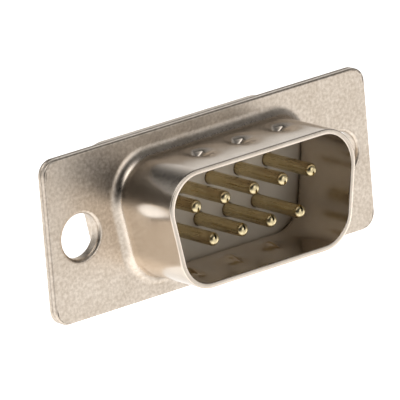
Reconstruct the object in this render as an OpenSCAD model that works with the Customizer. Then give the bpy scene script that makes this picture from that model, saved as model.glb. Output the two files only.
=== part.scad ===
// Nine-way D-subminiature plug for panel mounting, with solder cups.
// Two drawn steel shells clamp two moulded insulators, which trap nine rolled contacts.
// Each piece is drawn lying down: X along the flange, Y up the face and Z out of the mouth,
// with Z = 0 on the front of the flange. upright() then turns the mouth to -Y and the top to +Z.

/* [Flange] */
// Length of the flange
flange_w = 30.81; // [30.4:0.01:37]
// Height of the flange
flange_h = 12.55; // [12.0:0.01:15.1]
// Corner radius of the flange
flange_corner_r = 1.2; // [0.6:0.1:2.4]
// Thickness of each shell's sheet
sheet_t = 0.4; // [0.34:0.02:0.5]
// Distance between the two mounting holes
hole_spacing = 24.99; // [24.6:0.01:25.4]
// Diameter of each mounting hole, inside its eyelet
hole_d = 3.4; // [2.9:0.05:3.6]
// Radius of the lip rolled into the front of a mounting hole
lip_r = 0.3; // [0.15:0.05:0.35]
// Radius of the die roll along the flange's outer edges
edge_r = 0.14; // [0.06:0.02:0.2]

/* [Mating skirt] */
// Width of the mouth, inside the skirt
mouth_w = 16.92; // [16.7:0.01:17.2]
// Height of the mouth, inside the skirt
mouth_h = 8.36; // [8.1:0.01:8.6]
// Corner radius of the mouth
mouth_corner_r = 2.45; // [2:0.05:2.8]
// Slope of the two short sides
side_slope = 10; // [6:0.5:12]
// How far the skirt stands out of the flange
skirt_h = 6.1; // [5.6:0.05:7.2]
// Bend radius where the skirt leaves the flange
root_r = 0.8; // [0.5:0.05:0.85]

/* [Grounding dimples] */
// Distance from one dimple to the next
dimple_pitch = 3.86; // [3:0.02:4.2]
// How far the row of dimples sits off the middle, to the right on top and to the left below
dimple_shift = 0.92; // [0:0.02:1.4]
// Depth of a dimple at its steep end
dimple_depth = 0.4; // [0.2:0.02:0.5]
// Length of a dimple, from its steep end to its point
dimple_len = 2.2; // [1.6:0.1:2.6]
// Distance from the flange to a dimple's steep end
dimple_root = 2.5; // [2:0.05:2.9]
// Radius of the punch at its wide end
punch_r = 0.9; // [0.6:0.05:1.1]

/* [Rear shell] */
// Width of the rear shell's box
rear_w = 19.28; // [18.6:0.01:19.6]
// Height of the rear shell's box
rear_h = 10.72; // [10.2:0.01:10.9]
// Corner radius of the rear shell's box
rear_corner_r = 2.6; // [2:0.1:3]
// How far the box stands out behind the flange
rear_depth = 3.3; // [2.9:0.05:4]
// Width of the lip turned in round the rear window
window_lip = 0.9; // [0.75:0.05:1.2]

/* [Insulators] */
// How far the insulator's face sits behind the front of the flange
face_recess = 0.02; // [0:0.02:0.1]
// Depth of the joint between the two insulators, from the front of the flange
split_depth = 1.9; // [1.7:0.05:2.1]
// How far the rear insulator stands out of its window
boss_h = 0.9; // [0.4:0.1:1.4]

/* [Contacts] */
// Diameter of a pin
pin_d = 1.02; // [0.9:0.02:1.1]
// Distance between neighbouring pins in a row
pin_pitch = 2.77; // [2.74:0.01:2.8]
// Distance between the two rows
row_spacing = 2.84; // [2.7:0.01:2.9]
// How far a pin stands out of the flange's front
pin_out = 5.2; // [4.6:0.05:5.5]
// Width of the seam where the strip's edges meet
seam_w = 0.06; // [0.04:0.01:0.1]
// Diameter of the collar that holds a contact between the insulators
collar_d = 1.9; // [1.7:0.05:2.1]
// Outer diameter of a solder cup
cup_d = 1.8; // [1.6:0.05:2.1]
// Diameter of the wire hole in a solder cup
wire_d = 1.25; // [1:0.05:1.3]
// How far a solder cup stands out behind the rear insulator
cup_out = 4.7; // [4:0.1:6]

/* [Hidden] */
$fn = 32;
eps = 0.01;

steel = "#b8ada0";
plastic = "#d5cdbe";
gold = "#c8a556";

top_pins = 5;
pins = 9;

// Clearances between pieces that only meet
slip = 0.04;
contact_slip = 0.05;

// A D outline is [width, height, corner radius], all of them inside sizes, wide side up
mouth = [mouth_w, mouth_h, mouth_corner_r];
rear = [rear_w - 2 * sheet_t, rear_h - 2 * sheet_t, rear_corner_r - sheet_t];
d_normals = [90, -side_slope, -90, side_slope - 180];
corner_steps = 12;
root_steps = 6;
box_steps = 4;
flange_normals = [90, 0, -90, -180];

// Depths behind the front of the flange
seat = 2 * sheet_t;
rear_back = seat + rear_depth;
window_face = rear_back - sheet_t;
boss_back = rear_back + boss_h;

rear_bend_r = 0.4;
window_bend_r = 0.3;
eyelet_t = 0.25;
eyelet_r = hole_d / 2 + eyelet_t;
eyelet_rim_r = hole_d / 2 + 0.75;

// The insulator's nose fills the mouth of the root bend, and its step rests in the bend
nose_grow = 0.25;
step_grow = 0.68;
step_depth = 0.32;

tip_r = 0.4;
bore_d = 0.6;
gauge_hole_d = 0.26;
gauge_hole_at = 3.1;
barrel_d = 1.5;
barrel_front = 0.9;
barrel_back = 3;
collar_half = 0.24;
neck_d = 1.2;
cup_front = boss_back + 0.4;
cup_back = boss_back + cup_out;
cup_floor = cup_front + 1;
cup_open = cup_floor + 0.5;

// Centres of a D outline's corners, clockwise from the top left
function d_corners(d) =
    let (top_x = d[0] / 2 - d[2], y = d[1] / 2 - d[2], low_x = top_x - 2 * y * tan(side_slope))
    [[-top_x, y], [top_x, y], [low_x, -y], [-low_x, -y]];

// Centres of the flange's corners, clockwise from the top left
function flange_corners() =
    let (x = flange_w / 2 - flange_corner_r, y = flange_h / 2 - flange_corner_r)
    [[-x, y], [x, y], [x, -y], [-x, -y]];

function polar(r, a) = [r * cos(a), r * sin(a)];

// Points along an arc about centre c, from angle a to angle b in n steps
function arc(c, r, a, b, n) = [for (k = [0:n]) c + polar(r, a + (b - a) * k / n)];

// The D outline grown outwards, clockwise from the left end of its top left corner
function d_outline(d, grow) =
    let (c = d_corners(d), n = concat([180 + side_slope], d_normals))
    [for (i = [0:3]) each arc(c[i], d[2] + grow, n[i], n[i + 1], corner_steps)];

// Place of contact i: five along the top from the left, then four below them
function pin_at(i) =
    i <= top_pins
        ? [(i - (top_pins + 1) / 2) * pin_pitch, row_spacing / 2]
        : [(i - top_pins - (pins - top_pins + 1) / 2) * pin_pitch, -row_spacing / 2];

module upright() {
    rotate([90, 0, 0]) children();
}

// A layer from depth a to depth b behind the front of the flange
module layer(a, b) {
    translate([0, 0, -b]) linear_extrude(b - a) children();
}

module d_shape(d, grow) {
    polygon(d_outline(d, grow));
}

module flange_shape(grow) {
    c = flange_corners();
    r = flange_corner_r + grow;
    polygon([for (i = [0:3]) for (k = [0:1]) c[(i + k) % 4] + polar(r, flange_normals[i])]);
    for (p = c) translate(p) circle(r);
}

// Runs a flat section round the flange's outline: its X points outwards and its Y along Z
module around_flange() {
    c = flange_corners();
    for (i = [0:3]) {
        next = c[(i + 1) % 4];
        translate(c[i]) rotate(flange_normals[i]) rotate([90, 0, 0])
            linear_extrude(norm(next - c[i])) translate([flange_corner_r, 0]) children();
        translate(next) rotate(flange_normals[i] - 90)
            rotate_extrude(angle = 90) translate([flange_corner_r, 0]) children();
    }
}

// A sheet drawn into a D: its section, a closed list of [growth of the outline, Z], swept round d
module drawn_sheet(d, section) {
    rings = [for (p = section) d_outline(d, p[0])];
    m = len(rings[0]);
    s = len(section);
    polyhedron(
        points = [for (i = [0:s - 1]) for (q = rings[i]) [q[0], q[1], section[i][1]]],
        faces = [for (i = [0:s - 1]) for (j = [0:m - 1])
            let (i2 = (i + 1) % s, j2 = (j + 1) % m)
            [i * m + j, i2 * m + j, i2 * m + j2, i * m + j2]]
    );
}

module at_holes() {
    for (side = [-1, 1]) translate([side * hole_spacing / 2, 0, 0]) children();
}

// Flange sheet with its outer edge rolled on one face: side 1 for its front, -1 for its back
module flange_sheet(depth, side) {
    layer(depth, depth + sheet_t) flange_shape(-edge_r);
    translate([0, 0, -depth - sheet_t / 2]) mirror([0, 0, side < 0 ? 1 : 0])
        around_flange() {
            translate([-edge_r, -sheet_t / 2]) square([edge_r, sheet_t - edge_r]);
            intersection() {
                translate([-edge_r, sheet_t / 2 - edge_r]) circle(edge_r);
                translate([-edge_r, sheet_t / 2 - edge_r]) square(edge_r);
            }
        }
}

// Section of the skirt: a straight wall that bends out into the flange
function skirt_section() =
    let (c = [sheet_t + root_r, root_r])
    concat(
        [[0, skirt_h], [sheet_t, skirt_h]],
        arc(c, root_r, 180, 270, root_steps),
        arc(c, root_r + sheet_t, 270, 180, root_steps)
    );

// Section of the rear shell's box: out of the flange, back, and in to the window's lip
function box_section() =
    let (
        out = [sheet_t + rear_bend_r, -seat - rear_bend_r],
        in = [-window_bend_r, window_bend_r - window_face]
    )
    concat(
        arc(out, rear_bend_r, 90, 180, box_steps),
        arc(in, window_bend_r + sheet_t, 0, -90, box_steps),
        [[-window_lip, -rear_back], [-window_lip, -window_face]],
        arc(in, window_bend_r, -90, 0, box_steps),
        arc(out, rear_bend_r + sheet_t, 180, 90, box_steps)
    );

// Cone of a punch that leans into the top wall, or of its far side when grown by the sheet
module punch(grow) {
    lean = atan((punch_r - dimple_depth) / dimple_len);
    half = atan(punch_r / dimple_len);
    back = grow;
    translate([0, mouth_h / 2 + sheet_t + punch_r - dimple_depth, dimple_root])
        rotate([lean, 0, 0]) translate([0, 0, -back])
            cylinder(
                h = dimple_len + grow / sin(half) + back,
                r1 = punch_r + grow / cos(half) + back * tan(half),
                r2 = 0
            );
}

// Each wall has three dimples, and the lower three are the upper three turned half round
module at_dimples() {
    for (wall = [0, 180]) for (i = [-1:1])
        rotate(wall) translate([dimple_shift + i * dimple_pitch, 0, 0]) children();
}

module dimple_bulge() {
    intersection() {
        punch(sheet_t);
        translate([-2 * punch_r, 0, root_r])
            cube([4 * punch_r, mouth_h / 2 + sheet_t - eps, skirt_h]);
    }
}

// Section of an eyelet: a lip rolled at the front, a straight wall and a rim turned over at the back
module eyelet_section() {
    r = hole_d / 2;
    difference() {
        union() {
            translate([r, -seat - eyelet_t]) square([eyelet_t, seat + eyelet_t - sheet_t]);
            translate([r, -seat - eyelet_t]) square([eyelet_rim_r - r, eyelet_t]);
        }
        difference() {
            translate([r - eps, -seat - eyelet_t - eps]) square(eyelet_t + eps);
            translate([r + eyelet_t, -seat]) circle(eyelet_t);
        }
    }
}

// Section of what the lip takes off the edge of a hole: a square with a round corner left on it
module lip_section() {
    r = hole_d / 2;
    difference() {
        translate([0, -lip_r]) square([r + lip_r, lip_r + eps]);
        translate([r + lip_r, -lip_r]) circle(lip_r);
    }
}

// A drawn cup with its floor cut away: the flange, the D skirt and the two clinched eyelets
module front_shell() {
    color(steel) upright() {
        difference() {
            union() {
                difference() {
                    flange_sheet(0, 1);
                    layer(-1, seat) d_shape(mouth, sheet_t + root_r);
                    at_holes() layer(-1, seat) circle(hole_d / 2);
                    at_holes() rotate_extrude() lip_section();
                }
                drawn_sheet(mouth, skirt_section());
                at_holes() rotate_extrude() eyelet_section();
                at_dimples() dimple_bulge();
            }
            at_dimples() punch(0);
        }
    }
}

// The box behind the flange, with a window that leaves the contacts' ends free
module rear_shell() {
    color(steel) upright() {
        difference() {
            flange_sheet(sheet_t, -1);
            layer(0, seat + 1) d_shape(rear, sheet_t + rear_bend_r);
            at_holes() layer(0, seat + 1) circle(eyelet_r + slip);
        }
        drawn_sheet(rear, box_section());
    }
}

module at_contacts() {
    for (i = [1:pins]) translate(pin_at(i)) children();
}

// The half that shows in the mouth: nose, step and the flange that fills the rear shell
module front_insulator() {
    color(plastic) upright() {
        difference() {
            union() {
                layer(face_recess, sheet_t) d_shape(mouth, nose_grow);
                layer(step_depth, sheet_t) d_shape(mouth, step_grow);
                layer(sheet_t, split_depth) d_shape(rear, -slip);
            }
            at_contacts() {
                layer(-1, split_depth + 1) circle(pin_d / 2 + contact_slip);
                layer(barrel_front - contact_slip, split_depth + 1) circle(barrel_d / 2 + contact_slip);
                layer(split_depth - collar_half - contact_slip, split_depth + 1)
                    circle(collar_d / 2 + contact_slip);
            }
        }
    }
}

// The half behind the joint, with the boss that fills the window
module rear_insulator() {
    color(plastic) upright() {
        difference() {
            union() {
                layer(split_depth, window_face - window_bend_r) d_shape(rear, -slip);
                layer(window_face - window_bend_r - eps, window_face) d_shape(rear, -window_bend_r - slip);
                layer(window_face - eps, boss_back) d_shape(rear, -window_lip - slip);
            }
            at_contacts() {
                layer(0, boss_back + 1) circle(neck_d / 2 + contact_slip);
                layer(0, barrel_back + contact_slip) circle(barrel_d / 2 + contact_slip);
                layer(0, split_depth + collar_half + contact_slip) circle(collar_d / 2 + contact_slip);
            }
        }
    }
}

// Outside of a contact, from its axis out
module contact_section() {
    r = pin_d / 2;
    translate([0, -barrel_front]) square([r, barrel_front + pin_out - tip_r]);
    translate([0, pin_out - tip_r - eps]) square([r - tip_r, tip_r + eps]);
    intersection() {
        translate([r - tip_r, pin_out - tip_r]) circle(tip_r);
        translate([r - tip_r, pin_out - tip_r]) square(tip_r);
    }
    translate([0, -barrel_back]) square([barrel_d / 2, barrel_back - barrel_front]);
    translate([0, -split_depth - collar_half]) square([collar_d / 2, 2 * collar_half]);
    translate([0, -cup_front]) square([neck_d / 2, cup_front - barrel_back]);
    translate([0, -cup_back]) square([cup_d / 2, cup_back - cup_front]);
}

// Rolled pin, barrel, collar and solder cup. Its seam faces down and its cup opens upwards.
module contact(i) {
    flip = i <= top_pins ? 0 : 180;
    color(gold) upright() translate(pin_at(i)) rotate(flip) {
        difference() {
            rotate_extrude() contact_section();
            translate([0, 0, -barrel_front / 2])
                cylinder(h = pin_out + barrel_front / 2 - tip_r, r = bore_d / 2);
            translate([-seam_w / 2, -pin_d, -barrel_front / 2])
                cube([seam_w, pin_d, pin_out + barrel_front]);
            translate([0, 0, gauge_hole_at]) rotate([-90, 0, 0]) cylinder(h = pin_d, r = gauge_hole_d / 2);
            translate([-1.5 * seam_w, -pin_d, pin_out - tip_r])
                cube([3 * seam_w, pin_d - 0.08, pin_d]);
            translate([0, 0, -cup_back - 1]) cylinder(h = cup_back + 1 - cup_floor, r = wire_d / 2);
            translate([-cup_d, cup_d / 10, -cup_back - 1]) cube([2 * cup_d, cup_d, cup_back + 1 - cup_open]);
        }
    }
}

front_shell();
rear_shell();
front_insulator();
rear_insulator();
for (i = [1:pins]) {
    contact(i);
}
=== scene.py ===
# Nine-way D-sub plug: two drawn steel shells, two moulded insulators and nine rolled contacts.
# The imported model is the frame. The shells are shown as smooth drawn surfaces in its place, and
# everything rides on the one body. Shapes are worked out in millimetres as (across, up, out),
# where out points out of the mouth from the front of the flange, and then turned to the frame.
import math

import bpy
import numpy as np
from mathutils import Matrix, Vector


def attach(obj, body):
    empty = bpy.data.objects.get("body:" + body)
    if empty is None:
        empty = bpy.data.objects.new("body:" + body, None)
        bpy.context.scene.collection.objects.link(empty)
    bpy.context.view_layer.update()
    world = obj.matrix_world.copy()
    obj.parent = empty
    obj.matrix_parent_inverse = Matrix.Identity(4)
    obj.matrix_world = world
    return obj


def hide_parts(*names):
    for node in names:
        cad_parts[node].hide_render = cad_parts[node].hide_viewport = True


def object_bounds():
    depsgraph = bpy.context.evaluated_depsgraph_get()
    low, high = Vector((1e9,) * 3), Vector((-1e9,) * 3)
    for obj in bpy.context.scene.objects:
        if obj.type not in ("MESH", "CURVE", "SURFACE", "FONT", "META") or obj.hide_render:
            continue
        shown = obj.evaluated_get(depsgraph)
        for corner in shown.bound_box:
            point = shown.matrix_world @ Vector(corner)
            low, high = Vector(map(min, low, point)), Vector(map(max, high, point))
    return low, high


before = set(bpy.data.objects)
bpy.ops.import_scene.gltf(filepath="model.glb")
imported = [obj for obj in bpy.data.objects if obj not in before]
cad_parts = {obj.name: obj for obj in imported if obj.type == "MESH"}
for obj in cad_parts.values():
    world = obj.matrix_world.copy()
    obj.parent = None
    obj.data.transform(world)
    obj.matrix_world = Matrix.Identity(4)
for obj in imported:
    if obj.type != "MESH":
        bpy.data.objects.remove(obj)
cadLow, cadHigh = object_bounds()
scene = bpy.context.scene
print("frame loaded:", len(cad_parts), "nodes")

shell = {
    "sheet": 0.4,           # thickness of each sheet
    "mouth": (16.92, 8.36, 2.45),   # inside width, height and corner radius of the D
    "slope": 10,            # lean of the short sides, in degrees
    "skirtOut": 6.1,
    "rootBend": 0.8,
    "rimRound": 0.07,       # broken edges of the cut rim
    "fineRows": (1.9, 5.1),  # stretch of the wall that holds the dimples and has finer rows
    "split": 10.12,         # where the flat face passes from the mouth's ring to a hole's ring
    "flange": (30.81, 12.55, 1.2),
    "dieRoll": 0.14,
    "holeAt": 12.495,
    "holeRadius": 1.7,
    "lipRadius": 0.3,
    "eyeletWall": 0.25,
    "eyeletRim": 2.45,
}


def placed(across, up, out):
    # millimetres in the drawing plane to metres in the frame: out of the mouth is towards -Y
    return np.stack([across, -out, up], axis=-1) * 0.001


def gridFaces(rows, columns, wrap, start=0, flip=False):
    # quads between neighbouring rows and columns of a grid; wrap joins the last column to the first
    i, j = np.meshgrid(np.arange(rows - 1), np.arange(columns if wrap else columns - 1), indexing="ij")
    here, beside = i * columns + j, i * columns + (j + 1) % columns
    quads = np.stack([here, beside, beside + columns, here + columns], axis=-1)
    quads = quads.reshape(-1, 4) + start
    return quads[:, ::-1] if flip else quads


def meshPiece(name, grids, material, replaced=()):
    # one object from several grids, each (points of shape rows x columns x 3, wrap, flip)
    points, faces, count = [], [], 0
    for grid, wrap, flip in grids:
        rows, columns = grid.shape[:2]
        points.append(grid.reshape(-1, 3))
        faces.append(gridFaces(rows, columns, wrap, count, flip))
        count += rows * columns
    points, faces = np.concatenate(points), np.concatenate(faces)
    mesh = bpy.data.meshes.new(name)
    mesh.vertices.add(len(points))
    mesh.vertices.foreach_set("co", points.astype(np.float32).ravel())
    mesh.loops.add(faces.size)
    mesh.loops.foreach_set("vertex_index", faces.astype(np.int32).ravel())
    mesh.polygons.add(len(faces))
    mesh.polygons.foreach_set("loop_start", np.arange(0, faces.size, 4, dtype=np.int32))
    mesh.polygons.foreach_set("use_smooth", np.ones(len(faces), dtype=bool))
    mesh.update(calc_edges=True)
    mesh.validate()
    mesh.materials.append(material)
    piece = bpy.data.objects.new(name, mesh)
    scene.collection.objects.link(piece)
    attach(piece, "root")
    if replaced:
        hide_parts(*replaced)
    print(name, len(faces) * 2, "triangles")
    return piece


def arcPoints(centre, radius, start, end, steps):
    # points on a circle: centre + radius * (cos, sin) of evenly spaced angles
    angle = np.radians(np.linspace(start, end, steps + 1))
    return np.stack([centre[0] + radius * np.cos(angle), centre[1] + radius * np.sin(angle)], axis=-1)


def roundedOutline(centres, radius, normals, cornerSteps, sideSteps):
    # four corner arcs joined by straight sides, clockwise: each is centre + radius * (cos, sin) from one
    # normal's angle to the next; returns each point and its outward normal
    points, outward = [], []
    for i in range(4):
        angles = np.radians(np.linspace(normals[i], normals[i + 1], cornerSteps + 1))
        arcNormal = np.stack([np.cos(angles), np.sin(angles)], axis=-1)
        points.append(centres[i] + radius * arcNormal)
        outward.append(arcNormal)
        step = np.arange(1, sideSteps[i])[:, None] / sideSteps[i]
        begin, end = centres[i] + radius * arcNormal[-1], centres[(i + 1) % 4] + radius * arcNormal[-1]
        points.append(begin + (end - begin) * step)
        outward.append(np.repeat(arcNormal[-1:], sideSteps[i] - 1, axis=0))
    return np.concatenate(points), np.concatenate(outward)


def dOutline(size, cornerSteps, sideSteps):
    # the D: top corners at half the width less the radius, bottom ones moved in by height * tan(slope)
    width, height, radius = size
    topX, y = width / 2 - radius, height / 2 - radius
    lowX = topX - 2 * y * math.tan(math.radians(shell["slope"]))
    centres = np.array([[-topX, y], [topX, y], [lowX, -y], [-lowX, -y]])
    normals = [180 + shell["slope"], 90, -shell["slope"], -90, shell["slope"] - 180]
    return roundedOutline(centres, radius, normals, cornerSteps, sideSteps)


def plateOutline(size, cornerSteps, sideSteps):
    width, height, radius = size
    x, y = width / 2 - radius, height / 2 - radius
    centres = np.array([[-x, y], [x, y], [x, -y], [-x, -y]])
    return roundedOutline(centres, radius, [180, 90, 0, -90, -180], cornerSteps, sideSteps)


def sweep(outline, section, inset=None):
    # each section point (growth, out) moves the outline along its normal by growth, less a local inset
    points, outward = outline
    growth = section[:, 0][:, None] - (0 if inset is None else inset)
    flat = points[None] + outward[None] * growth[..., None]
    return placed(flat[..., 0], flat[..., 1], np.broadcast_to(section[:, 1][:, None], flat.shape[:2]))


def turned(section, centre, steps=72):
    # revolves (radius, out) points about the axis of a hole
    angle = np.linspace(0, -2 * np.pi, steps, endpoint=False)
    radius = section[:, 0][:, None]
    return placed(centre[0] + radius * np.cos(angle), centre[1] + radius * np.sin(angle),
                  np.broadcast_to(section[:, 1][:, None], (len(section), steps)))


def plateReach(centre, direction, left, right, top, radius, roundLeft, roundRight):
    # how far a ray runs from centre before it leaves a plate that may have rounded corners on either side
    dx, dy = direction[:, 0], direction[:, 1]
    dx, dy = np.where(np.abs(dx) < 1e-9, 1e-9, dx), np.where(np.abs(dy) < 1e-9, 1e-9, dy)
    reach = np.minimum(np.where(dx > 0, (right - centre[0]) / dx, (left - centre[0]) / dx),
                       np.where(dy > 0, (top - centre[1]) / dy, (-top - centre[1]) / dy))
    for side, rounded in ((left + radius, roundLeft), (right - radius, roundRight)):
        if not rounded:
            continue
        hitX, hitY = centre[0] + dx * reach, centre[1] + dy * reach
        corner = np.stack([np.full_like(hitX, side), np.sign(hitY) * (top - radius)], axis=-1)
        beyond = ((hitX < side) if side < centre[0] else (hitX > side)) & (np.abs(hitY) > top - radius)
        # where the corner is round, solve |centre + t * direction - corner| = radius for the far t
        gap = np.array(centre) - corner
        b, c = dx * gap[:, 0] + dy * gap[:, 1], (gap ** 2).sum(axis=1) - radius ** 2
        reach = np.where(beyond, -b + np.sqrt(np.maximum(b * b - c, 0)), reach)
    return reach


def plateRing(inner, centre, depth, left, right, top, radius, roundLeft, roundRight):
    # flat ring: inner loop * (1 - share) + edge of the plate * share; four rows keep its shading flat
    direction = inner - centre
    distance = np.linalg.norm(direction, axis=1)
    direction = direction / distance[:, None]
    reach = plateReach(centre, direction, left, right, top, radius, roundLeft, roundRight)
    for cornerX, isRound in ((left, roundLeft), (right, roundRight)):   # square corners get their own point
        if isRound:
            continue
        for cornerY in (-top, top):
            target = np.array([cornerX, cornerY]) - centre
            nearest = np.argmax(direction @ (target / np.linalg.norm(target)))
            direction[nearest] = target / np.linalg.norm(target)
            reach[nearest] = np.linalg.norm(target)
    outer = np.array(centre) + direction * reach[:, None]
    share = np.array([0, 0.01, 0.99, 1])[:, None, None]
    flat = inner[None] * (1 - share) + outer[None] * share
    return placed(flat[..., 0], flat[..., 1], np.full(flat.shape[:2], depth))


def circleLoop(centre, radius, steps=72):
    angle = np.linspace(0, -2 * np.pi, steps, endpoint=False)
    return np.stack([centre[0] + radius * np.cos(angle), centre[1] + radius * np.sin(angle)], axis=-1)


dimples = {
    "at": (-2.94, 0.92, 4.78),   # along the top wall; the bottom row is the same turned half round
    "steepEnd": 2.25,            # distance out from the flange
    "length": 2.3,               # of the groove, from its steep end to its point
    "groove": 0.3,               # its depth there
    "halfWidth": 0.62,
    "heel": 0.34,                # how far the steep end takes to drop
    "dish": (0.3, 0.85, 1.0),    # depth of the soft hollow round each one, and its reach across and out
    "dishAhead": 0.4,            # how far ahead of the steep end the hollow is centred
    "insideShare": 0.35,         # how much of the groove shows through the sheet
}


def dimpleDepth(across, out, sharp):
    # a hollow, depth * exp(-(across / reach)^2 - (out / reach)^2), with a V groove in it that is deepest at
    # its steep end and rises in a straight line to its point
    total = np.zeros(np.broadcast(across, out).shape)
    hollow, reachAcross, reachOut = dimples["dish"]
    for x in dimples["at"]:
        along = out - dimples["steepEnd"]
        side = np.abs(across - x)
        fall = np.where(along > 0, 1 - along / dimples["length"], 1 + along / dimples["heel"])
        floor = dimples["groove"] * fall
        groove = np.maximum(floor - side * dimples["groove"] / dimples["halfWidth"], 0)
        spread = (side / reachAcross) ** 2 + ((along - dimples["dishAhead"]) / reachOut) ** 2
        total = total + groove * sharp + hollow * np.exp(-spread)
    return total


def skirtInset(outline, section):
    # inward push of the long walls: the top row as drawn, the bottom row turned half round, and the inside
    # softer; outward normal up ^ 4 fades it out round the corners
    points, outward = outline
    across, heights = points[:, 0][None], section[:, 1][:, None]
    sharp = np.where(section[:, 0] > 0.5 * shell["sheet"], 1.0, dimples["insideShare"])[:, None]
    top = dimpleDepth(across, heights, sharp) * np.clip(outward[:, 1], 0, 1)[None] ** 4
    low = dimpleDepth(-across, heights, sharp) * np.clip(-outward[:, 1], 0, 1)[None] ** 4
    return top + low


def frontShellGrids():
    t, bend, rim, out = shell["sheet"], shell["rootBend"], shell["rimRound"], shell["skirtOut"]
    outline = dOutline(shell["mouth"], 22, [170, 28, 150, 28])
    dimpleLow, dimpleHigh = shell["fineRows"]
    wallHeights = np.concatenate([
        np.linspace(bend, dimpleLow, 7)[:-1],
        np.linspace(dimpleLow, dimpleHigh, 44),
        np.linspace(dimpleHigh, out - rim, 7)[1:],
    ])
    upWall = np.stack([np.full_like(wallHeights, t), wallHeights], axis=-1)
    downWall = np.stack([np.zeros_like(wallHeights), wallHeights], axis=-1)[::-1]
    section = np.concatenate([
        [[t + bend, -0.0], [t + bend - 0.01, 0.0]],
        arcPoints((t + bend, bend), bend, 270, 180, 14)[1:-1],
        upWall,
        arcPoints((t - rim, out - rim), rim, 0, 90, 4)[1:],
        arcPoints((rim, out - rim), rim, 90, 180, 4)[:-1],
        downWall,
        arcPoints((t + bend, bend), bend + t, 180, 270, 14)[1:],
    ])
    isWall = (section[:, 1] >= bend - 1e-9) & (section[:, 1] <= out - rim + 1e-9)
    inset = skirtInset(outline, section) * isWall[:, None]
    grids = [(sweep(outline, section, inset), True, True)]

    # flat faces: a ring round the mouth and one round each hole, in front and behind
    width, height, radius = shell["flange"]
    roll, hole = shell["dieRoll"], shell["holeRadius"]
    split = shell["split"]
    points, outward = outline
    mouthLoop = points + outward * (t + bend)
    left, right, top = -width / 2 + roll, width / 2 - roll, height / 2 - roll
    for depth, lip, flip in ((0.0, hole + shell["lipRadius"], False), (-t, hole + shell["eyeletWall"], True)):
        middle = plateRing(mouthLoop, (0, 0), depth, -split, split, top, 0.01, False, False)
        grids.append((middle, True, flip))
        for side in (-1, 1):
            centre = (side * shell["holeAt"], 0)
            loop = circleLoop(centre, lip)
            limits = (left, -split) if side < 0 else (split, right)
            end = plateRing(loop, centre, depth, *limits, top, radius - roll, side < 0, side > 0)
            grids.append((end, True, flip))

    # outer edge: rolled by the die in front, square behind
    edgeOutline = plateOutline(shell["flange"], 14, [60, 24, 60, 24])
    edgeSection = np.concatenate([
        [[-roll, 0.0], [-roll + 0.004, 0.0]],
        arcPoints((-roll, -roll), roll, 90, 0, 7)[1:],
        [[0, -t + 0.03], [-0.03, -t], [-roll, -t]],
    ])
    grids.append((sweep(edgeOutline, edgeSection), True, False))

    # eyelets: lip rolled in front, bore, and a rim clinched over the rear sheet
    wall, rimRadius, back = shell["eyeletWall"], shell["eyeletRim"], -2 * t
    lip = shell["lipRadius"]
    eyelet = np.concatenate([
        [[hole + lip + 0.01, 0.0], [hole + lip, 0.0]],
        arcPoints((hole + lip, -lip), lip, 90, 180, 9)[1:],
        [[hole, back + 0.02]],
        arcPoints((hole + wall, back), wall, 180, 270, 9)[1:],
        [[rimRadius - 0.06, back - wall]],
        arcPoints((rimRadius - 0.06, back - wall + 0.06), 0.06, 270, 360, 4)[1:],
        [[rimRadius, back], [hole + wall + 0.06, back], [hole + wall, back + 0.03], [hole + wall, -t]],
    ])
    for side in (-1, 1):
        grids.append((turned(eyelet, (side * shell["holeAt"], 0)), True, True))
    return grids


rearBox = {
    "size": (18.48, 9.92, 2.2),   # inside width, height and corner radius
    "depth": 3.3,                 # how far it stands out behind the flange
    "flangeBend": 0.4,
    "windowBend": 0.3,
    "lip": 0.9,
    "clearance": 0.04,            # round each eyelet
    "split": 10.27,               # where its flat face passes from the box's ring to a hole's ring
}


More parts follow.
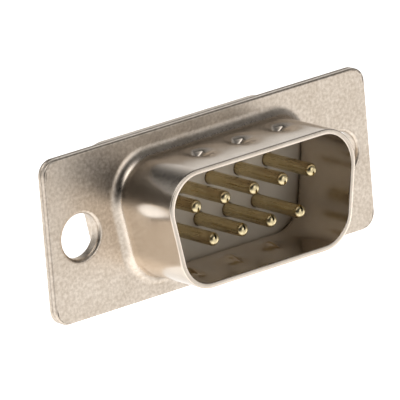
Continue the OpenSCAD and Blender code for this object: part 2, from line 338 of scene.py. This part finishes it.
def rearShellGrids():
    t, bend, fold, lip = shell["sheet"], rearBox["flangeBend"], rearBox["windowBend"], rearBox["lip"]
    seat = -2 * t
    back = seat - rearBox["depth"]
    outline = dOutline(rearBox["size"], 18, [60, 24, 60, 24])
    section = np.concatenate([
        [[t + bend + 0.01, seat], [t + bend, seat]],
        arcPoints((t + bend, seat - bend), bend, 90, 180, 8)[1:],
        [[t, seat - bend - 0.02], [t, back + t + fold + 0.02]],
        arcPoints((-fold, back + t + fold), fold + t, 0, -90, 12),
        [[-fold - 0.02, back], [0.05 - lip, back], [-lip, back + 0.05]],
        [[-lip, back + t - 0.05], [0.05 - lip, back + t], [-fold - 0.02, back + t]],
        arcPoints((-fold, back + t + fold), fold, -90, 0, 6),
        [[0, seat - bend]],
        arcPoints((t + bend, seat - bend), bend + t, 180, 90, 8)[1:],
    ])
    grids = [(sweep(outline, section), True, False)]

    # flat faces of its flange: behind, and in front where it lies on the other sheet
    width, height, radius = shell["flange"]
    roll, split = shell["dieRoll"], rearBox["split"]
    clear = shell["holeRadius"] + shell["eyeletWall"] + rearBox["clearance"]
    points, outward = outline
    mouthLoop = points + outward * (t + bend)
    left, right, top = -width / 2 + roll, width / 2 - roll, height / 2 - roll
    for depth, flip in ((seat, True), (-t, False)):
        middle = plateRing(mouthLoop, (0, 0), depth, -split, split, top, 0.01, False, False)
        grids.append((middle, True, flip))
        for side in (-1, 1):
            centre = (side * shell["holeAt"], 0)
            limits = (left, -split) if side < 0 else (split, right)
            loop = circleLoop(centre, clear)
            end = plateRing(loop, centre, depth, *limits, top, radius - roll, side < 0, side > 0)
            grids.append((end, True, flip))
    for side in (-1, 1):   # walls of the two holes that the eyelets pass through
        wall = np.array([[clear, -t], [clear, seat]])
        grids.append((turned(wall, (side * shell["holeAt"], 0)), True, True))

    edgeOutline = plateOutline(shell["flange"], 14, [60, 24, 60, 24])
    edgeSection = np.concatenate([
        [[-roll, -t], [-0.03, -t], [0, -t - 0.03]],
        arcPoints((-roll, seat + roll), roll, 0, -90, 7),
        [[-roll - 0.004, seat]],
    ])
    grids.append((sweep(edgeOutline, edgeSection), True, False))
    return grids


def linearColour(hexCode):
    # sRGB to linear light: below 0.04045 divide by 12.92, above it ((c + 0.055) / 1.055) to the power 2.4
    c = np.array([int(hexCode[i:i + 2], 16) for i in (1, 3, 5)]) / 255
    c = np.where(c <= 0.04045, c / 12.92, ((c + 0.055) / 1.055) ** 2.4)
    return (*c.tolist(), 1.0)


def addNode(tree, kind, settings=None, links=None):
    # one node with its settings and links: a setting is the node's own property or, failing that, an input
    node = tree.nodes.new(kind)
    for key, value in (settings or {}).items():
        if isinstance(key, str) and hasattr(node, key):
            setattr(node, key, value)
        else:
            node.inputs[key].default_value = value
    for key, source in (links or {}).items():
        tree.links.new(source, node.inputs[key])
    return node


def newMaterial(name):
    material = bpy.data.materials.new(name)
    material.use_nodes = True
    tree = material.node_tree
    tree.nodes.clear()
    output = tree.nodes.new("ShaderNodeOutputMaterial")
    shader = tree.nodes.new("ShaderNodeBsdfPrincipled")
    tree.links.new(shader.outputs[0], output.inputs[0])
    place = tree.nodes.new("ShaderNodeTexCoord").outputs["Object"]
    return material, tree, shader, place


def perMetre(sizeInMillimetres):
    # noise scale whose features are about this size
    return 1000 / sizeInMillimetres


plating = {
    "colour": "#e4d8ca",
    "pits": "#b3a390",
    "roughFlange": 0.36,
    "roughSkirt": 0.2,
    "roughSpread": 0.04,
    "grain": 0.26,        # size of the satin mottle in millimetres
    "grainHeight": 0.004,
    "cloud": 3.0,         # size of the patches of paler and duller tin
    "drawnFrom": 0.05,    # distances out from the flange between which the satin gives way to burnish
    "drawnTo": 0.7,
}


def platedSteel():
    # tin-plated deep-drawn steel: the flat flange keeps the strip's satin mottle, drawn a little coarser
    # than it is so that it shows, and the die has burnished the drawn walls
    material, tree, shader, place = newMaterial("tin plated drawn steel")
    grain = addNode(tree, "ShaderNodeTexNoise", {
        "Scale": perMetre(plating["grain"]), "Detail": 3.0, "Roughness": 0.6}, {"Vector": place})
    cloud = addNode(tree, "ShaderNodeTexNoise", {
        "Scale": perMetre(plating["cloud"]), "Detail": 3.0}, {"Vector": place})
    split = addNode(tree, "ShaderNodeSeparateXYZ", links={0: place})
    drawn = addNode(tree, "ShaderNodeMapRange", {
        "From Min": -0.001 * plating["drawnFrom"], "From Max": -0.001 * plating["drawnTo"],
        "To Min": 0.0, "To Max": 1.0}, {0: split.outputs["Y"]})
    rough = addNode(tree, "ShaderNodeMapRange", {
        "To Min": plating["roughFlange"], "To Max": plating["roughSkirt"]}, {0: drawn.outputs[0]})
    vary = addNode(tree, "ShaderNodeMapRange", {
        "From Min": 0.3, "From Max": 0.7,
        "To Min": -plating["roughSpread"], "To Max": plating["roughSpread"]}, {0: grain.outputs[0]})
    total = addNode(tree, "ShaderNodeMath", {"operation": "ADD"}, {0: rough.outputs[0], 1: vary.outputs[0]})
    tree.links.new(total.outputs[0], shader.inputs["Roughness"])
    # pits show dark on the flange and faint on the walls, and tin varies a little from place to place
    satin = addNode(tree, "ShaderNodeMapRange", {"To Min": 1.0, "To Max": 0.15}, {0: drawn.outputs[0]})
    pits = addNode(tree, "ShaderNodeMapRange", {
        "From Min": 0.36, "From Max": 0.66, "To Min": 0.55, "To Max": 0.0}, {0: grain.outputs[0]})
    shown = addNode(tree, "ShaderNodeMath", {
        "operation": "MULTIPLY"}, {0: pits.outputs[0], 1: satin.outputs[0]})
    patch = addNode(tree, "ShaderNodeMapRange", {
        "From Min": 0.3, "From Max": 0.7, "To Min": 0.0, "To Max": 0.3}, {0: cloud.outputs[0]})
    worn = addNode(tree, "ShaderNodeMath", {
        "operation": "ADD", "use_clamp": True}, {0: shown.outputs[0], 1: patch.outputs[0]})
    tint = addNode(tree, "ShaderNodeMix", {
        "data_type": "RGBA", 6: linearColour(plating["colour"]), 7: linearColour(plating["pits"])},
        {0: worn.outputs[0]})
    tree.links.new(tint.outputs[2], shader.inputs["Base Color"])
    bump = addNode(tree, "ShaderNodeBump", {
        "Distance": plating["grainHeight"] * 0.001},
        {"Height": grain.outputs[0], "Strength": satin.outputs[0]})
    tree.links.new(bump.outputs[0], shader.inputs["Normal"])
    shader.inputs["Metallic"].default_value = 1.0
    return material


moulding = {"colour": "#cfc6b8", "shade": "#c3b9aa", "mottle": 1.1, "grain": 0.12, "grainHeight": 0.004}


def mouldedPolyester():
    # glass-filled polyester moulding, undyed: a matt skin with a faint fibre mottle
    material, tree, shader, place = newMaterial("glass filled polyester moulding")
    mottle = addNode(tree, "ShaderNodeTexNoise", {
        "Scale": perMetre(moulding["mottle"]), "Detail": 4.0}, {"Vector": place})
    skin = addNode(tree, "ShaderNodeTexNoise", {
        "Scale": perMetre(moulding["grain"]), "Detail": 2.0}, {"Vector": place})
    tint = addNode(tree, "ShaderNodeMix", {
        "data_type": "RGBA", 6: linearColour(moulding["shade"]), 7: linearColour(moulding["colour"])},
        {0: mottle.outputs[0]})
    tree.links.new(tint.outputs[2], shader.inputs["Base Color"])
    rough = addNode(tree, "ShaderNodeMapRange", {"To Min": 0.42, "To Max": 0.58}, {0: skin.outputs[0]})
    tree.links.new(rough.outputs[0], shader.inputs["Roughness"])
    bump = addNode(tree, "ShaderNodeBump", {
        "Distance": moulding["grainHeight"] * 0.001, "Strength": 0.5}, {"Height": skin.outputs[0]})
    tree.links.new(bump.outputs[0], shader.inputs["Normal"])
    shader.inputs["IOR"].default_value = 1.5
    return material


flash = {"colour": "#d8c9a4", "thin": "#c4b286", "strip": 0.09, "stripHeight": 0.003, "patch": 0.7}


def goldFlash():
    # a thin gold flash over rolled brass: fine lines along the pin from the strip's rolling, browner where
    # the flash is thinnest
    material, tree, shader, place = newMaterial("gold flashed brass")
    stretch = addNode(tree, "ShaderNodeMapping", {"Scale": (1.0, 0.06, 1.0)}, {"Vector": place})
    lines = addNode(tree, "ShaderNodeTexNoise", {
        "Scale": perMetre(flash["strip"]), "Detail": 3.0}, {"Vector": stretch.outputs[0]})
    patch = addNode(tree, "ShaderNodeTexNoise", {
        "Scale": perMetre(flash["patch"]), "Detail": 2.0}, {"Vector": place})
    tint = addNode(tree, "ShaderNodeMix", {
        "data_type": "RGBA", 6: linearColour(flash["thin"]), 7: linearColour(flash["colour"])},
        {0: patch.outputs[0]})
    tree.links.new(tint.outputs[2], shader.inputs["Base Color"])
    rough = addNode(tree, "ShaderNodeMapRange", {"To Min": 0.2, "To Max": 0.38}, {0: lines.outputs[0]})
    tree.links.new(rough.outputs[0], shader.inputs["Roughness"])
    bump = addNode(tree, "ShaderNodeBump", {
        "Distance": flash["stripHeight"] * 0.001, "Strength": 0.6}, {"Height": lines.outputs[0]})
    tree.links.new(bump.outputs[0], shader.inputs["Normal"])
    shader.inputs["Metallic"].default_value = 1.0
    return material


steel, plastic, gold = platedSteel(), mouldedPolyester(), goldFlash()
print("materials made")

frontShell = meshPiece("frontShellDrawn", frontShellGrids(), steel, ["front_shell"])
rearShell = meshPiece("rearShellDrawn", rearShellGrids(), steel, ["rear_shell"])
for nodeName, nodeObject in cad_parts.items():
    nodeObject.data.materials.clear()
    finish = gold if nodeName.startswith("contact") else plastic if "insulator" in nodeName else steel
    nodeObject.data.materials.append(finish)


view = {"azimuth": -38.588, "elevation": 16.518, "roll": -4.795, "distance": 0.624844, "lens": 764.46,
        "target": (-0.001189, 0.0, -0.00005)}


def placeCamera():
    # looks from the left of the mouth, a little above, with the head tilted by the roll
    a, e, r = (math.radians(view[k]) for k in ("azimuth", "elevation", "roll"))
    back = Vector((math.sin(a) * math.cos(e), -math.cos(a) * math.cos(e), math.sin(e)))
    level = Vector((math.cos(a), math.sin(a), 0))
    up = back.cross(level)
    right = level * math.cos(r) + up * math.sin(r)
    top = up * math.cos(r) - level * math.sin(r)
    data = bpy.data.cameras.new("camera")
    data.sensor_width, data.lens, data.clip_start, data.clip_end = 36, view["lens"], 0.01, 10
    camera = bpy.data.objects.new("camera", data)
    matrix = Matrix((right, top, back)).transposed().to_4x4()
    matrix.translation = Vector(view["target"]) + back * view["distance"]
    camera.matrix_world = matrix
    scene.collection.objects.link(camera)
    scene.camera = camera


placeCamera()

stage = {"floorDrop": 0.004, "floorSize": 3.0}


def pageFloor():
    # a lit white sweep: it shows plain white to the camera, and the world stands for the light it returns
    low = cadLow.z - stage["floorDrop"]
    half = stage["floorSize"] / 2
    corners = [(-half, -half, low), (half, -half, low), (half, half, low), (-half, half, low)]
    mesh = bpy.data.meshes.new("floor")
    mesh.from_pydata(corners, [], [(0, 1, 2, 3)])
    material, tree, shader, place = newMaterial("white paper sweep")
    fibre = addNode(tree, "ShaderNodeTexNoise", {"Scale": perMetre(0.8), "Detail": 3.0}, {"Vector": place})
    tint = addNode(tree, "ShaderNodeMix", {
        "data_type": "RGBA", 6: linearColour("#f7f7f7"), 7: linearColour("#ffffff")}, {0: fibre.outputs[0]})
    tree.links.new(tint.outputs[2], shader.inputs["Base Color"])
    shader.inputs["Roughness"].default_value = 0.9
    shader.inputs["Emission Color"].default_value = (1, 1, 1, 1)
    shader.inputs["Emission Strength"].default_value = 1.0
    mesh.materials.append(material)
    floor = bpy.data.objects.new("floor", mesh)
    scene.collection.objects.link(floor)
    floor.visible_diffuse = floor.visible_glossy = floor.visible_shadow = False


pageFloor()

# The studio: soft boxes and white sweeps add light, and black flags (a strength below zero) take it away.
# Azimuth 0 is in front of the mouth and -90 on its left. Width is where the light has fallen to half, in
# degrees.
studio = {
    "base": 0.05,
    "lights": (
        # azimuth, elevation, width, strength
        (60, -24, 12, 2.4),      # low strip on the right
        (-103, 57, 23, 2.8),     # high box on the left
        (14, 10, 12, 2.4),       # small box in front
        (148, -6, 33, 1.3),      # back of the sweep, right
        (-141, -21, 36, 1.2),    # back of the sweep, left
        (-3, -46, 31, 1.2),      # the sweep below the mouth
        (-78, -37, 26, 1.2),     # the sweep on the left
        (-20, -73, 53, 0.75),    # the sweep underneath
        (-45, 84, 54, 0.2),      # fill from above
        (-54, 12, 36, -0.9),     # flag round the camera
        (-152, 48, 42, -0.65),   # flag over the back
    ),
}


def studioWorld():
    # each light is strength * exp(-ln 2 * (1 - cos angle) / (1 - cos width)), and their sum stays above zero
    world = bpy.data.worlds.new("studio")
    scene.world = world
    world.use_nodes = True
    tree = world.node_tree
    tree.nodes.clear()
    direction = tree.nodes.new("ShaderNodeTexCoord").outputs["Generated"]
    total = None
    for azimuth, elevation, width, strength in studio["lights"]:
        a, e, w = (math.radians(v) for v in (azimuth, elevation, width))
        toLight = (math.sin(a) * math.cos(e), -math.cos(a) * math.cos(e), math.sin(e))
        falloff = math.log(2) / (1 - math.cos(w))
        cosine = addNode(tree, "ShaderNodeVectorMath", {
            "operation": "DOT_PRODUCT", 1: toLight}, {0: direction})
        power = addNode(tree, "ShaderNodeMath", {
            "operation": "MULTIPLY_ADD", 1: falloff, 2: -falloff}, {0: cosine.outputs["Value"]})
        glow = addNode(tree, "ShaderNodeMath", {"operation": "EXPONENT"}, {0: power.outputs[0]})
        part = addNode(tree, "ShaderNodeMath", {
            "operation": "MULTIPLY_ADD", 1: strength, 2: studio["base"]}, {0: glow.outputs[0]})
        if total is not None:
            tree.links.new(total.outputs[0], part.inputs[2])
        total = part
    light = addNode(tree, "ShaderNodeMath", {"operation": "MAXIMUM", 1: 0.0}, {0: total.outputs[0]})
    lit = addNode(tree, "ShaderNodeBackground", {0: (1, 1, 1, 1)}, {1: light.outputs[0]})
    page = addNode(tree, "ShaderNodeBackground", {0: (1, 1, 1, 1), 1: 1.0})
    path = tree.nodes.new("ShaderNodeLightPath")
    mixed = addNode(tree, "ShaderNodeMixShader", links={
        0: path.outputs["Is Camera Ray"], 1: lit.outputs[0], 2: page.outputs[0]})
    addNode(tree, "ShaderNodeOutputWorld", links={0: mixed.outputs[0]})


studioWorld()
scene.view_settings.view_transform = "Standard"
print("camera, floor and light set")
